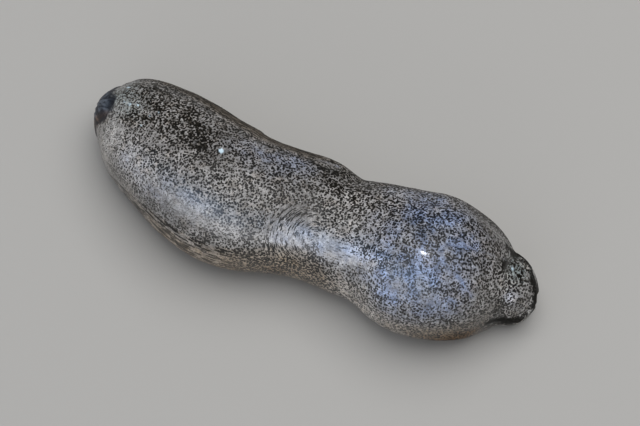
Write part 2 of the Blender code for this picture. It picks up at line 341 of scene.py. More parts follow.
# The disc's raised lip, the step down to its face, its ragged painted edge, and the y where its foot is
# earthy. Its radial folds have coordinates of their own: units across them, the blunt heart and units in
# a millimetre.
DISC_LIP_RISE, DISC_LIP_REACH, DISC_LIP_OUT = 0.15, 0.6, 0.4
DISC_STEP, DISC_STEP_FROM, DISC_STEP_TO = 0.22, -0.2, 1.2
DISC_RAGGED, DISC_RAGGED_SIZE, DISC_EDGE = 0.5, 1.6, (-0.4, 0.3)
DISC_EARTHY_Y = (4.2, 1.6)
SPOKE_NOISE, SPOKE_HEART, SPOKE_RUN = 6.0, 0.3, 0.4

# The heart of the pleats that fan over the waist: its place, its angle round the body, and the radius at
# which the girth is measured there. Then the pleats' rise, their width, and their run in the noise.
PLEAT_HEART, PLEAT_ANGLE, GIRTH_RADIUS = (8.3, -7.7, 21.1), 135.0, 13.5
PLEAT_RISE, PLEAT_WIDTH, PLEAT_RUN = 0.035, 0.4, 0.16

# The fan's limits: its lean and its edges in degrees, how near its heart it starts, and how far out and
# how far round the body it ends.
FAN_LEAN, FAN_EDGE, FAN_START, FAN_END, FAN_SIDES = 8, (80, 45), (1.0, 3.5), (15.0, 9.0), (8.0, 5.0)

# The coordinates of strokes, in units to a millimetre: across and along a pleat in the fan, and elsewhere
# round the body, for broad strokes and for narrow ones. The run is the share of that along the body, and
# the slice is the third coordinate. Strokes are broad on the near side before one x.
FAN_STROKES = (1.5, 0.34)
STROKE_BROAD, STROKE_NARROW, STROKE_RUN, STROKE_SLICE = 0.8, 1.3, 0.2, 9.0
BROAD_BEFORE = -2

# The skin's low ripples: the size of each kind and its rise.
RIPPLES = ((9.0, 0.16), (3.9, 0.07), (1.7, 0.022))

# The share of the unwrapped sheet that is left free at each of its edges.
UV_MARGIN = 0.002

# Colours as linear red, green and blue.
# Painted light among them: the lavender ground is partly a painted blue sheen, the blue ink a painted sheen
# over flecks, the orange a painted warm reflection from the ground, the near-black is stains and painted
# shade, and the water and teal glint colours are painted glints.
GREY_GROUND, LAVENDER_SHEEN_GROUND = (0.300, 0.292, 0.284, 1), (0.205, 0.256, 0.385, 1)
BROWN_GROUND, TEAL_GROUND = (0.245, 0.192, 0.134, 1), (0.170, 0.212, 0.212, 1)
WARM_REFLECTION, STAIN_AND_SHADE, BEAD_GLINT_WHITE = (0.150, 0.086, 0.038, 1), (0.007, 0.006, 0.004, 1), (0.62, 0.78, 0.88, 1)
PAINTED_TEAL_GLINT = (0.42, 0.50, 0.52, 1)
THIN_INK, DEEP_INK = (0.058, 0.046, 0.033, 1), (0.0070, 0.0062, 0.0048, 1)
BLUE_SHEEN_INK = (0.018, 0.027, 0.046, 1)
DISC_SLATE, DISC_STREAK = (0.008, 0.012, 0.022, 1), (0.095, 0.115, 0.145, 1)
DISC_EARTH, DISC_EARTH_STREAK = (0.030, 0.018, 0.013, 1), (0.165, 0.105, 0.075, 1)
DISC_LIP = (0.010, 0.011, 0.014, 1)
FLOOR_GREY, STUDIO_WHITE = (0.43, 0.42, 0.40, 1), (0.93, 0.95, 1.0, 1)

# Flecks: how many dots and small dots there are in a metre, how many strokes in a unit of their coordinates,
# the noise that leads them astray, and how far, and how much thinner strokes are. Then the noise by which
# they clump, and how much all of them and the small ones do.
DOTS, SMALL_DOTS, STROKES = 1820.0, 2400.0, 2.1
STRAY_NOISE, DOT_STRAY, STROKE_STRAY, STROKE_THINNER = 1400.0, 0.0005, 0.4, 0.05
CLUMP_NOISE, CLUMP_DETAIL, CLUMP_ROUGHNESS = 260.0, 3.0, 0.6
CLUMPED, SMALL_CLUMPED = 0.37, 0.34

# How deep in a fleck its edge and its thin ink end, and how blue the ink is on violet skin, as a painted
# blue sheen over the flecks.
FLECK_EDGE, INK_DEPTH, BLUE_SHEEN_INK_SHARE = (-0.05, 0.04), (0.0, 0.14), 0.50

# Uneven by noise: features in a metre, detail, two limits of the noise, and what each of them gives.
CLOUD = (110.0, 3.0, 0.3, 0.7, 0.84, 1.16)
MOTTLE = (800.0, 2.0, 0.3, 0.7, 0.70, 1.30)
GRAIN = (2900.0, 1.0, 0.32, 0.68, 0.72, 1.28)
WARMTH = (380.0, 2.0, 0.5, 0.72, 0.0, 0.28)
VIOLET_SHEEN_SHARE = (230.0, 2.0, 0.36, 0.64, 0.48, 1.42)
WARM_REFLECTION_SHARE = (240.0, 3.0, 0.38, 0.62, 0.6, 1.0)

# Stains and painted shade broken by noise, painted glints in the teal cast, and the disc's streaks, each
# with the limits where it begins and is full and with the share it reaches.
STAIN_AND_SHADE_NOISE, STAIN_AND_SHADE_BREAK, STAIN_AND_SHADE_EDGE, STAIN_AND_SHADE_MOST = 900.0, 1.5, (0.2, 0.8), 0.97
PAINTED_TEAL_GLINTS, GLINT_EDGE, TEAL_SHARE = 1150.0, (0.25, 0.14), 0.8
STREAK_DETAIL, STREAK_ROUGHNESS, STREAK_EDGE, LIP_SHARE = 3.0, 0.6, (0.42, 0.64), 0.8

# Gloss: the roughness, mirror strength and coat of wet skin, and how much of each a matt place changes.
WET_ROUGHNESS, MATT_ROUGHNESS = 0.33, 0.45
WET_MIRROR, MATT_MIRROR = 0.45, 0.33
WET_COAT, COAT_ROUGHNESS, WATER_IOR = 0.4, 0.09, 1.33
DISC_MATT = 0.7

# Relief too fine for the mesh: features in a metre, and heights in metres, under the coat or on it.
RIPPLE_NOISE, UNDER_RELIEF, COAT_RELIEF = 650.0, 0.00010, 0.00002
FINE_NOISE, FINE_STRENGTH, FINE_RELIEF = 4200.0, 0.5, 0.00008

# The floor's half width, its level and its roughness, and the strength of the light from all round.
FLOOR_HALF, FLOOR_LEVEL, FLOOR_ROUGHNESS = 4.0, -0.0001, 0.9
DAYLIGHT = 0.34

# Lamps: name, direction from the body, distance, width and height, power, colour, and whether it lights
# the skin itself or is only seen as a reflection in the skin's wet gloss.
LAMPS = (
    ("overhead", (0.1, 0.2, 1.0), 1.1, (1.2, 1.2), 10.7, (1, 1, 1), "skin"),
    ("front_fill", (0.15, -1.0, 0.22), 1.1, (1.0, 0.5), 2.0, (1, 1, 1), "skin"),
    ("low_sky", (-0.09, -0.92, 0.38), 0.8, (1.9, 0.36), 6.9, (0.92, 0.94, 1.0), "gloss"),
    ("high_sky", (-0.20, -0.62, 0.74), 0.8, (1.1, 0.42), 3.2, (0.50, 0.70, 1.0), "gloss"),
    ("bright_sky", (-0.38, -0.62, 0.66), 0.8, (0.34, 0.28), 0.8, (0.55, 0.70, 1.0), "gloss"),
    ("zenith", (0.25, -0.05, 1.0), 0.8, (0.8, 0.8), 1.3, (0.95, 0.95, 1.0), "gloss"),
    ("left_sky", (-0.97, -0.17, 0.12), 0.8, (0.9, 0.4), 0.65, (0.95, 0.97, 1.0), "gloss"),
    ("glint", (-0.18, 0.06, 0.98), 0.6, (0.02, 0.02), 0.6, (1, 1, 1), "gloss"),
)

# Where the photograph was taken from: the middle of the picture, the direction, the lens and the scale.
LOOK_AT = (3.75, 2.81, 12.29)
AZIMUTH, ELEVATION = 25.4, 62.0
LENS, SENSOR = 120.0, 36.0
PIXELS_ACROSS, MM_PER_PIXEL = 640, 0.2464


def natural_spline(knots, values):
    """A natural cubic spline through the knots, as a function of an array of x."""
    knots, values = np.array(knots), np.array(values)
    gaps = np.diff(knots)
    slopes = np.diff(values) / gaps
    count = len(knots)
    matrix, right = np.eye(count), np.zeros(count)
    for i in range(1, count - 1):
        matrix[i, i - 1 : i + 2] = gaps[i - 1], 2 * (gaps[i - 1] + gaps[i]), gaps[i]
        right[i] = 6 * (slopes[i] - slopes[i - 1])
    bend = np.linalg.solve(matrix, right)

    def at(x):
        i = np.clip(np.searchsorted(knots, x) - 1, 0, count - 2)
        before, after, gap = x - knots[i], knots[i + 1] - x, gaps[i]
        curve = (bend[i] * after**3 + bend[i + 1] * before**3) / (6 * gap)
        start = (values[i] / gap - bend[i] * gap / 6) * after
        end = (values[i + 1] / gap - bend[i + 1] * gap / 6) * before
        return curve + start + end

    return at


far_flank, near_flank, back_height = (
    natural_spline([section[0] for section in SECTIONS], [section[column] for section in SECTIONS])
    for column in (1, 2, 3)
)


def centre_y(x):
    return (far_flank(x) + near_flank(x)) / 2


def hump(distance, reach):
    return np.exp(-((distance / reach) ** 2))


def smooth(low, high, value):
    share = np.clip((value - low) / (high - low), 0, 1)
    return share * share * (3 - 2 * share)


def dome_share(x):
    share = np.ones_like(x)
    for distance, length in ((x - HEAD_TIP, HEAD_DOME), (TAIL_TIP - x, TAIL_DOME)):
        inside = np.clip(1 - distance / length, 0, 1)
        share = share * (1 - inside**DOME_POWER) ** (1 / DOME_POWER)
    return share


def turned_away(angle, turned):
    return (np.degrees(angle) - turned + 180) % 360 - 180


def swelling(x, angle):
    rise = 0.0
    for at, turned, along, around, height in SWELLINGS:
        rise = rise + height * hump(x - at, along) * hump(turned_away(angle, turned), around)
    rise = rise - TAIL_CREASE_DEPTH * hump(x - TAIL_CREASE_AT, TAIL_CREASE_REACH)
    return rise - DISC_RIM_DEPTH * hump(x - DISC_RIM_AT, DISC_RIM_REACH)


def opening_sink(opening, share, angle):
    pit = opening["depth"] * hump(share, opening["width"])
    fold = opening["rise"] * hump(share - opening["reach"], opening["reach"] / 2)
    return pit - fold * (1 + np.cos(opening["folds"] * angle)) / 2


def skin_points(x, share, angle):
    """Points of the skin in millimetres, for arrays of x, share and angle of one shape."""
    half_width = (far_flank(x) - near_flank(x)) / 2
    height = back_height(x)
    axis = AXIS_SHARE * height
    across, up = np.cos(angle), np.sin(angle)
    power = np.where(up >= 0, TOP_POWER, SOLE_POWER)
    rise = np.where(up >= 0, height - axis, axis + SOLE_FLAT)
    section = (np.abs(across / half_width) ** power + np.abs(up / rise) ** power) ** (-1 / power)
    radius = share * (section + swelling(x, angle))
    slope = (centre_y(x + SLOPE_STEP) - centre_y(x - SLOPE_STEP)) / (2 * SLOPE_STEP)
    turn = np.hypot(1, slope)
    along = x - radius * across * slope / turn
    head_end = (x < HEAD_TIP + HEAD_DOME) & (share < dome_share(np.array(HEAD_TIP + HEAD_DOME / 2)))
    along = along + np.where(head_end, opening_sink(MOUTH, share, angle), 0)
    tail_end = (x > TAIL_TIP - TAIL_DOME) & (share < 1)
    along = along - np.where(tail_end, opening_sink(VENT, share, angle), 0)
    y = centre_y(x) + radius * across / turn
    return np.stack([along, y, np.maximum(0, axis + radius * up)], axis=-1)


def tip_rings(tip, inward, length):
    turned = math.pi / 2 * (np.arange(1, TIP_RINGS + 1) / TIP_RINGS) ** TIP_CROWDING
    distance = length * (1 - np.cos(turned) ** (2 / DOME_POWER))
    return tip + inward * distance, np.sin(turned) ** (2 / DOME_POWER)


def skin_rings():
    head_x, head_share = tip_rings(HEAD_TIP, 1, HEAD_DOME)
    tail_x, tail_share = tip_rings(TAIL_TIP, -1, TAIL_DOME)
    stretches = (
        np.arange(head_x[-1] + RING_STEP, PLEATS_FROM, RING_STEP),
        np.arange(PLEATS_FROM, PLEATS_TO, FINE_STEP),
        np.arange(PLEATS_TO, tail_x[-1] - RING_STEP / 2, RING_STEP),
    )
    body_x = np.concatenate(stretches)
    x = np.concatenate([head_x, body_x, tail_x[::-1]])
    share = np.concatenate([head_share, np.ones_like(body_x), tail_share[::-1]])
    return x, share


def normals_of(points):
    """Outward normals of a grid of points that closes round its second axis."""
    along = np.gradient(points, axis=0)
    around = np.roll(points, -1, axis=1) - np.roll(points, 1, axis=1)
    normal = np.cross(along, around)
    return normal / np.maximum(np.linalg.norm(normal, axis=-1, keepdims=True), 1e-9)


def perlin(points, size):
    """Smooth noise between about -1 and 1 whose features are about the size, for an array of points."""
    flat = points.reshape(-1, points.shape[-1]) / np.array(size)
    return np.array([noise.noise(point) for point in flat.tolist()]).reshape(points.shape[:-1])


def patches(points, spots):
    """The sum of soft patches, each given as middle, reach and amount."""
    total = np.zeros(points.shape[:-1])
    for middle, reach, amount in spots:
        away = (points - np.array(middle)) / np.array(reach)
        total += amount * np.exp(-(away**2).sum(axis=-1))
    return total


def distance_to(points, path):
    """The distance from every point to a path of straight pieces."""
    nearest = np.full(points.shape[:-1], np.inf)
    for start, end in zip(path, path[1:]):
        start, run = np.array(start), np.array(end) - np.array(start)
        along = np.clip(((points - start) @ run) / (run @ run), 0, 1)
        nearest = np.minimum(nearest, np.linalg.norm(points - start - along[..., None] * run, axis=-1))
    return nearest


def disc_edge(points):
    """How far inside the edge of the disc round the mouth every point is, in millimetres."""
    side, rise = DISC_MIDDLE[0] - points[..., 1], points[..., 2] - DISC_MIDDLE[1]
    edge = DISC_REACH
    for at, spread, more in DISC_BULGES:
        edge = edge + more * hump(turned_away(np.arctan2(rise, side), at), spread)
    return np.where(points[..., 0] < DISC_BEFORE, edge - np.hypot(side, rise), -9.0)


def girth_from_pleats(angle):
    """How far round the body every point is from the heart of the pleats, in millimetres."""
    return np.radians(turned_away(angle, PLEAT_ANGLE)) * GIRTH_RADIUS


def pleats(points, angle):
    """The fan of pleats over the waist: its strength, and each point's place across and along the pleats."""
    along = points[..., 0] - PLEAT_HEART[0]
    girth = girth_from_pleats(angle)
    reach = np.hypot(along, girth)
    turned = np.arctan2(girth, -along)
    fanned = smooth(*FAN_EDGE, np.abs(np.degrees(turned) + FAN_LEAN))
    strength = fanned * smooth(*FAN_START, reach) * smooth(*FAN_END, reach)
    return strength * smooth(*FAN_SIDES, np.abs(girth)), reach, turned * reach


def lift_of(points, angle):
    """How far the fine relief lifts every point of the skin, in millimetres."""
    lift = 0.0
    for size, rise in RIPPLES:
        lift = lift + rise * perlin(points, size)
    for path, reach, rise, shade in LINES:
        lift += rise * hump(distance_to(points, path), reach)
    for middle, reach, rise in BEADS:
        lift += rise * hump(np.linalg.norm(points - np.array(middle), axis=-1), reach)
    strength, across, down = pleats(points, angle)
    fan = perlin(np.stack([across, down * PLEAT_RUN, np.zeros_like(across)], axis=-1), PLEAT_WIDTH)
    lift += PLEAT_RISE * strength * fan
    inside = disc_edge(points)
    lip = DISC_LIP_RISE * hump(inside + DISC_LIP_OUT, DISC_LIP_REACH)
    lift += lip - DISC_STEP * smooth(DISC_STEP_FROM, DISC_STEP_TO, inside)
    return lift * smooth(0.0, 1.5, points[..., 2])


def unwrap_skin(mesh, points):
    """Lays the skin out on one sheet: along the body one way, and round it the other."""
    rings = len(points)
    spine = np.linalg.norm(np.diff(points[:, SIDES // 2], axis=0), axis=1)
    length = np.concatenate([[0], np.cumsum(spine)])
    inner = 1 - 2 * UV_MARGIN
    u = np.repeat((UV_MARGIN + inner * length / length[-1])[:, None], SIDES, axis=1)
    v = np.tile(UV_MARGIN + inner * np.arange(SIDES + 1) / SIDES, (rings, 1))
    corners = (
        (u[:-1], v[:-1, :-1]),
        (u[:-1], v[:-1, 1:]),
        (u[1:], v[1:, 1:]),
        (u[1:], v[1:, :-1]),
    )
    quad_uv = np.stack([np.stack(corner, -1) for corner in corners], axis=2).reshape(-1, 2)
    tip_uv = []
    for ring, end, flip in ((0, 0.0, True), (rings - 1, 1.0, False)):
        for side in range(SIDES):
            pair = [(u[ring, 0], v[ring, side]), (u[ring, 0], v[ring, side + 1])]
            tip_uv += (pair[::-1] if flip else pair) + [(end, (v[ring, side] + v[ring, side + 1]) / 2)]
    unwrap = mesh.uv_layers.new(name="OFBake")
    unwrap.data.foreach_set("uv", np.concatenate([quad_uv, np.array(tip_uv)]).astype(np.float32).ravel())


def make_skin():
    """The closed skin: a grid of rings and sides with a point at either end, lifted by its relief."""
    ring_x, ring_share = skin_rings()
    angles = np.linspace(0, 2 * math.pi, SIDES, endpoint=False) - math.pi / 2
    x, angle = np.meshgrid(ring_x, angles, indexing="ij")
    share = np.repeat(ring_share[:, None], SIDES, axis=1)
    points = skin_points(x, share, angle)
    middle = (points.min(axis=(0, 1)) + points.max(axis=(0, 1))) / 2
    points[..., :2] -= middle[:2]
    points = points + normals_of(points) * lift_of(points, angle)[..., None]
    points[..., 2] = np.maximum(points[..., 2], 0)

    rings = len(ring_x)
    index = np.arange(rings * SIDES).reshape(rings, SIDES)
    after = np.roll(index, -1, axis=1)
    quads = np.stack([index[:-1], after[:-1], after[1:], index[1:]], axis=-1).reshape(-1, 4)
    head, tail = rings * SIDES, rings * SIDES + 1
    faces = quads.tolist()
    faces += [(int(b), int(a), head) for a, b in zip(index[0], after[0])]
    faces += [(int(a), int(b), tail) for a, b in zip(index[-1], after[-1])]
    corners = np.concatenate([points.reshape(-1, 3), points[[0, -1]].mean(axis=1)])
    mesh = bpy.data.meshes.new("skin")
    mesh.from_pydata((corners * MM).tolist(), [], faces)
    mesh.shade_smooth()
    unwrap_skin(mesh, points)

    skin = bpy.data.objects.new("skin", mesh)
    bpy.context.scene.collection.objects.link(skin)
    paint(mesh, points, angle, share)
    return skin


def set_field(mesh, name, values):
    """Keeps a named number or vector at each of the skin's points."""
    kind, part = ("FLOAT_VECTOR", "vector") if values.ndim == 3 else ("FLOAT", "value")
    tips = values[[0, -1]].mean(axis=1).reshape(2, -1)
    whole = np.concatenate([values.reshape(SIDES * len(values), -1), tips])
    mesh.attributes.new(name, kind, "POINT").data.foreach_set(part, whole.astype(np.float32).ravel())


def zone_shares(points, angle, ring):
    """The share between nought and one that every zone has at every point of the skin."""
    measures = {"x": points[..., 0], "z": points[..., 2], "far": np.cos(angle), "ring": ring}
    shares = {}
    for name, steps in ZONES.items():
        share = 1.0
        for measure, nought, one in steps:
            share = share * smooth(nought, one, measures[measure])
        shares[name] = share
    return shares


def vein_highlights_and_crease_shade(points, violet_sheen):
    """How strongly pale veins, partly painted highlights, and painted crease shade mark the skin's points.
    """
    vein_highlights, crease_shade = 0.0, 0.0
    for path, reach, rise, shade in LINES:
        line = shade * hump(distance_to(points, path), reach * (1.0 if shade > 0 else PALE_LINE_SHARE))
        vein_highlights, crease_shade = vein_highlights + np.maximum(-line, 0), crease_shade + np.maximum(line, 0)
    vein_highlights = np.clip(vein_highlights * (VEIN_EVEN + VEIN_UNEVEN * perlin(points, VEIN_SIZE)), 0, 1)
    net = smooth(NET_WIDTH, 0.0, np.abs(perlin(points, NET_SIZE)))
    return np.maximum(vein_highlights, NET_STRENGTH * violet_sheen * net), crease_shade


def paint(mesh, points, angle, ring):
    """Keeps the fields that the material reads, as named numbers at the skin's points.

    Spread, small and fade say how wide, how fine and how dark the flecks are. The other fields colour the
    ground between them: its brightness, partly painted light and painted shade; its brown and orange, partly
    a painted warm reflection from the ground; its lavender, partly a painted blue sheen; and its teal cast.
    Dark paints stains and painted shade over both, matt takes the gloss away, and the glint field paints a
    white glint on each bead of water.
    """
    px, pz = points[..., 0], points[..., 2]
    zone = zone_shares(points, angle, ring)
    violet_sheen = np.clip(patches(points, VIOLET_SHEEN_PATCHES), 0, 1)
    vein_highlights, crease_shade = vein_highlights_and_crease_shade(points, violet_sheen)
    stains_and_shade = np.clip(patches(points, DARK_PATCHES) + crease_shade, 0, 1)
    # The tail's end is darkened, partly its own dark skin and partly painted shade.
    vent = 0.8 * zone["tips"] * (px > 0)
    far_edge = zone["far_edge"]
    far_rim = zone["fore_far_rim"] + 0.5 * zone["hind_far_rim"]
    fore_far_rim = far_rim * zone["fore_half"]
    foot = np.interp(px, FOOT_AT, FOOT_HEIGHT)
    flank = smooth(foot + FOOT_EDGE, foot - FOOT_EDGE, pz) * zone["near_side"]
    head_flank = flank * zone["head_half"]

    flecks = FLECK_SHARE + patches(points, FLECK_PATCHES) + 0.2 * stains_and_shade - 0.3 * zone["sole"] - 0.4 * vein_highlights
    flecks = np.clip(flecks + 0.12 * flank + 0.12 * far_edge + 0.06 * far_rim, 0.03, 0.8)
    # The radius round scattered points inside which that share of the skin lies.
    set_field(mesh, "spread", (-3 / (4 * math.pi) * np.log(1 - flecks)) ** (1 / 3))
    faded = patches(points, FADED_PATCHES) + 0.24 * zone["faded_low"]
    set_field(mesh, "fade", np.clip(1 - 0.1 * far_rim - 0.4 * zone["sole"] - 0.4 * vein_highlights - faded, 0, 1))
    set_field(mesh, "small", np.clip(patches(points, SMALL_PATCHES) - 0.8 * flank * zone["waist"], 0, 1))

    # The brightness is partly painted: patches of painted highlight and shade, and low on the near flank a
    # painted lift that turns to painted shade near the tail.
    painted_light_and_tone = 1 + patches(points, TONE_AND_PAINTED_LIGHT_PATCHES) + zone["near_low"] * np.interp(px, RIM_AT, RIM_PAINTED_LIGHT)
    painted_light_and_tone = painted_light_and_tone - far_edge * (0.16 + 0.30 * zone["fore_half"]) - 0.22 * fore_far_rim
    set_field(mesh, "painted_light_and_tone", np.clip(painted_light_and_tone, 0.3, 2.2))
    # Low on the near flank the brown is partly a painted warm reflection from the ground.
    brown = far_edge * (0.08 + 0.42 * zone["fore_half"]) + 0.3 * fore_far_rim + 0.25 * flank
    brown = brown + 0.6 * flank * zone["low"] * zone["waist"]
    brown = np.maximum(brown, zone["near_low"] * np.interp(px, RIM_AT, RIM_BROWN_REFLECTION))
    set_field(mesh, "brown", np.clip(brown, 0, 1))
    # The orange low on the near flank is a painted warm reflection from the ground.
    set_field(mesh, "warm_reflection", np.clip(zone["warm_reflecting_low"] + patches(points, WARM_REFLECTION_PATCHES), 0, 1))
    # The lavender is partly a painted blue sheen, and pale lines add to it.
    set_field(mesh, "violet_sheen", np.clip(violet_sheen + 0.5 * vein_highlights, 0, 1))
    set_field(mesh, "teal", np.clip(patches(points, TEAL_PATCHES), 0, 1))

    # Dark paints stains, painted shade in creases and under the tail, and a thin line on the far side.
    far_line = 0.5 * hump(np.cos(angle) - FAR_LINE_AT, FAR_LINE_WIDTH) * zone["dark_far_line"]
    set_field(mesh, "dark", np.clip(stains_and_shade + far_line + vent, 0, 1))
    matt = 0.9 * zone["matt_far_side"] + 0.8 * head_flank + vent + 0.8 * crease_shade
    set_field(mesh, "matt", np.clip(matt + patches(points, MATT_PATCHES), 0, 1))
    # Each bead of water gets a painted white glint with an uneven edge.
    uneven = BEAD_GLINT_UNEVEN * perlin(points, BEAD_GLINT_UNEVEN_SIZE)
    bead_glints = 0.0
    for middle, reach, rise in BEADS:
        away = np.linalg.norm(points - np.array(middle), axis=-1) / reach
        bead_glints = bead_glints + smooth(*BEAD_GLINT_EDGE, away + uneven)
    set_field(mesh, "bead_glint", np.clip(bead_glints, 0, 1))

    combed = 0.85 * head_flank + np.maximum(0.8 * fore_far_rim, 0.8 * zone["combed_far_edge"])
    paint_strokes(mesh, points, angle, combed)
    paint_disc(mesh, points)


def paint_strokes(mesh, points, angle, combed):
    """Keeps how far flecks are drawn out into strokes, and the coordinates of the strokes."""
    strength, across, down = pleats(points, angle)
    fan = np.stack([across * FAN_STROKES[0], down * FAN_STROKES[1], np.zeros_like(across)], axis=-1)
    px = points[..., 0]
    broad = (np.cos(angle) < 0) & (px < BROAD_BEFORE)
    cells = np.where(broad, STROKE_BROAD, STROKE_NARROW)
    lengthwise = [px * STROKE_RUN * cells, girth_from_pleats(angle) * cells, np.full_like(px, STROKE_SLICE)]
    set_field(mesh, "swept", np.where((strength > 0)[..., None], fan, np.stack(lengthwise, axis=-1)))
    band = patches(points, STROKE_PATCHES) * (strength == 0)
    set_field(mesh, "sweep", np.clip(strength + band + combed, 0, 1))


def paint_disc(mesh, points):
    """Keeps the fields of the disc round the mouth: its extent, lip, earthy foot and radial folds."""
    before = points[..., 0] < DISC_BEFORE
    inside = disc_edge(points) + DISC_RAGGED * perlin(points, DISC_RAGGED_SIZE)
    set_field(mesh, "disc", smooth(*DISC_EDGE, inside))
    set_field(mesh, "disc_rim", hump(inside - DISC_LIP_OUT, DISC_LIP_REACH) * before)
    set_field(mesh, "disc_foot", smooth(*DISC_EARTHY_Y, points[..., 1]) * before)
    side, rise = points[..., 1] - DISC_MIDDLE[0], points[..., 2] - DISC_MIDDLE[1]
    out = np.hypot(side, rise)
    turned = [SPOKE_NOISE * side / (out + SPOKE_HEART), SPOKE_NOISE * rise / (out + SPOKE_HEART)]
    set_field(mesh, "spokes", np.stack([*turned, SPOKE_RUN * out], axis=-1))


class Tree:
    """Adds nodes to a material and joins them up."""

    def __init__(self, name):
        self.material = bpy.data.materials.new(name)
        self.material.use_nodes = True
        self.nodes, self.links = self.material.node_tree.nodes, self.material.node_tree.links
        self.shader = self.nodes["Principled BSDF"]

    def node(self, kind, inputs=(), **settings):
        made = self.nodes.new(kind)
        for name, value in settings.items():
            setattr(made, name, value)
        for name, value in dict(inputs).items():
            if isinstance(value, bpy.types.NodeSocket):
                self.links.new(value, made.inputs[name])
            else:
                made.inputs[name].default_value = value
        return made

    def field(self, name, output="Fac"):
        return self.node("ShaderNodeAttribute", attribute_name=name).outputs[output]

    def math(self, operation, *values):
        return self.node("ShaderNodeMath", dict(enumerate(values)), operation=operation).outputs[0]

    def plus(self, first, second):
        return self.math("ADD", first, second)

    def minus(self, first, second):
        return self.math("SUBTRACT", first, second)

    def times(self, first, second):
        return self.math("MULTIPLY", first, second)

    def between(self, share, first, second):
        """The number this share of the way from the first to the second."""
        return self.plus(first, self.times(share, self.minus(second, first)))

    def noise(self, vector, scale, detail=2.0, roughness=0.5, output="Fac"):
        inputs = {"Vector": vector, "Scale": scale, "Detail": detail, "Roughness": roughness}
        return self.node("ShaderNodeTexNoise", inputs).outputs[output]

    def uneven(self, vector, scale, detail, low, high, start, end):
        """Noise whose values between low and high are spread softly from start to end."""
        return self.ramp(self.noise(vector, scale, detail=detail), low, high, start, end)

    def vector(self, operation, *values, output="Vector"):
        made = self.node("ShaderNodeVectorMath", dict(enumerate(values)), operation=operation)
        return made.outputs[output]

    def scaled(self, colour, factor):
        return self.node("ShaderNodeVectorMath", {0: colour, "Scale": factor}, operation="SCALE").outputs[0]

    def cells(self, vector, scale):
        """The distance to the nearest of a scatter of points, in units of their spacing."""
        return self.node("ShaderNodeTexVoronoi", {"Vector": vector, "Scale": scale}).outputs["Distance"]

    def ramp(self, value, low, high, start=0.0, end=1.0):
        inputs = {"Value": value, "From Min": low, "From Max": high, "To Min": start, "To Max": end}
        return self.node("ShaderNodeMapRange", inputs, interpolation_type="SMOOTHSTEP").outputs[0]

    def mix(self, share, first, second):
        made = self.node("ShaderNodeMix", data_type="RGBA")
        for socket, value in ((made.inputs[0], share), (made.inputs[6], first), (made.inputs[7], second)):
            if isinstance(value, bpy.types.NodeSocket):
                self.links.new(value, socket)
            else:
                socket.default_value = value
        return made.outputs[2]


def fleck_marks(tree, place, violet_sheen):
    """How strongly a fleck covers the ground at a place, and the colour of its ink."""
    stray = tree.noise(place, STRAY_NOISE, detail=1.0, output="Color")
    stray = tree.vector("SUBTRACT", stray, (0.5, 0.5, 0.5))
    astray = tree.vector("ADD", place, tree.scaled(stray, DOT_STRAY))
    small = tree.field("small")
    dots = tree.between(small, tree.cells(astray, DOTS), tree.cells(astray, SMALL_DOTS))
    swept = tree.vector("ADD", tree.field("swept", "Vector"), tree.scaled(stray, STROKE_STRAY))
    strokes = tree.plus(tree.cells(swept, STROKES), STROKE_THINNER)
    away = tree.between(tree.field("sweep"), dots, strokes)
    clumps = tree.noise(place, CLUMP_NOISE, detail=CLUMP_DETAIL, roughness=CLUMP_ROUGHNESS)
    clumped = tree.plus(tree.times(small, SMALL_CLUMPED), CLUMPED)
    clumps = tree.times(tree.minus(clumps, 0.5), clumped)
    depth = tree.minus(tree.plus(tree.field("spread"), clumps), away)
    ink = tree.mix(tree.ramp(depth, *INK_DEPTH), THIN_INK, DEEP_INK)
    # On violet skin the ink takes a painted blue sheen.
    ink = tree.mix(tree.times(violet_sheen, BLUE_SHEEN_INK_SHARE), ink, BLUE_SHEEN_INK)
    return tree.times(tree.ramp(depth, *FLECK_EDGE), tree.field("fade")), ink


def ground_colour(tree, place, violet_sheen, teal):
    """The colour of the skin between the flecks."""
    # The lavender ground is partly a painted blue sheen.
    ground = tree.mix(violet_sheen, GREY_GROUND, LAVENDER_SHEEN_GROUND)
    # The brown is partly a painted warm reflection from the ground, low on the near flank.
    brown = tree.plus(tree.field("brown"), tree.uneven(place, *WARMTH))
    ground = tree.mix(brown, ground, BROWN_GROUND)
    ground = tree.mix(tree.times(teal, TEAL_SHARE), ground, TEAL_GROUND)
    # The brightness is partly painted light and painted shade.
    shade = tree.times(tree.uneven(place, *CLOUD), tree.uneven(place, *MOTTLE))
    shade = tree.times(shade, tree.times(tree.uneven(place, *GRAIN), tree.field("painted_light_and_tone")))
    # The orange is a painted warm reflection from the ground.
    warm_reflection = tree.times(tree.field("warm_reflection"), tree.uneven(place, *WARM_REFLECTION_SHARE))
    return tree.mix(warm_reflection, tree.scaled(ground, shade), WARM_REFLECTION)


def disc_colour(tree):
    """The colour of the disc round the mouth, streaked by its radial folds."""
    spokes = tree.field("spokes", "Vector")
    streaks = tree.noise(spokes, 1.0, detail=STREAK_DETAIL, roughness=STREAK_ROUGHNESS)
    streaks = tree.ramp(streaks, *STREAK_EDGE)
    slate = tree.mix(streaks, DISC_SLATE, DISC_STREAK)
    earth = tree.mix(streaks, DISC_EARTH, DISC_EARTH_STREAK)
    slate = tree.mix(tree.field("disc_foot"), slate, earth)
    return tree.mix(tree.times(tree.field("disc_rim"), LIP_SHARE), slate, DISC_LIP)


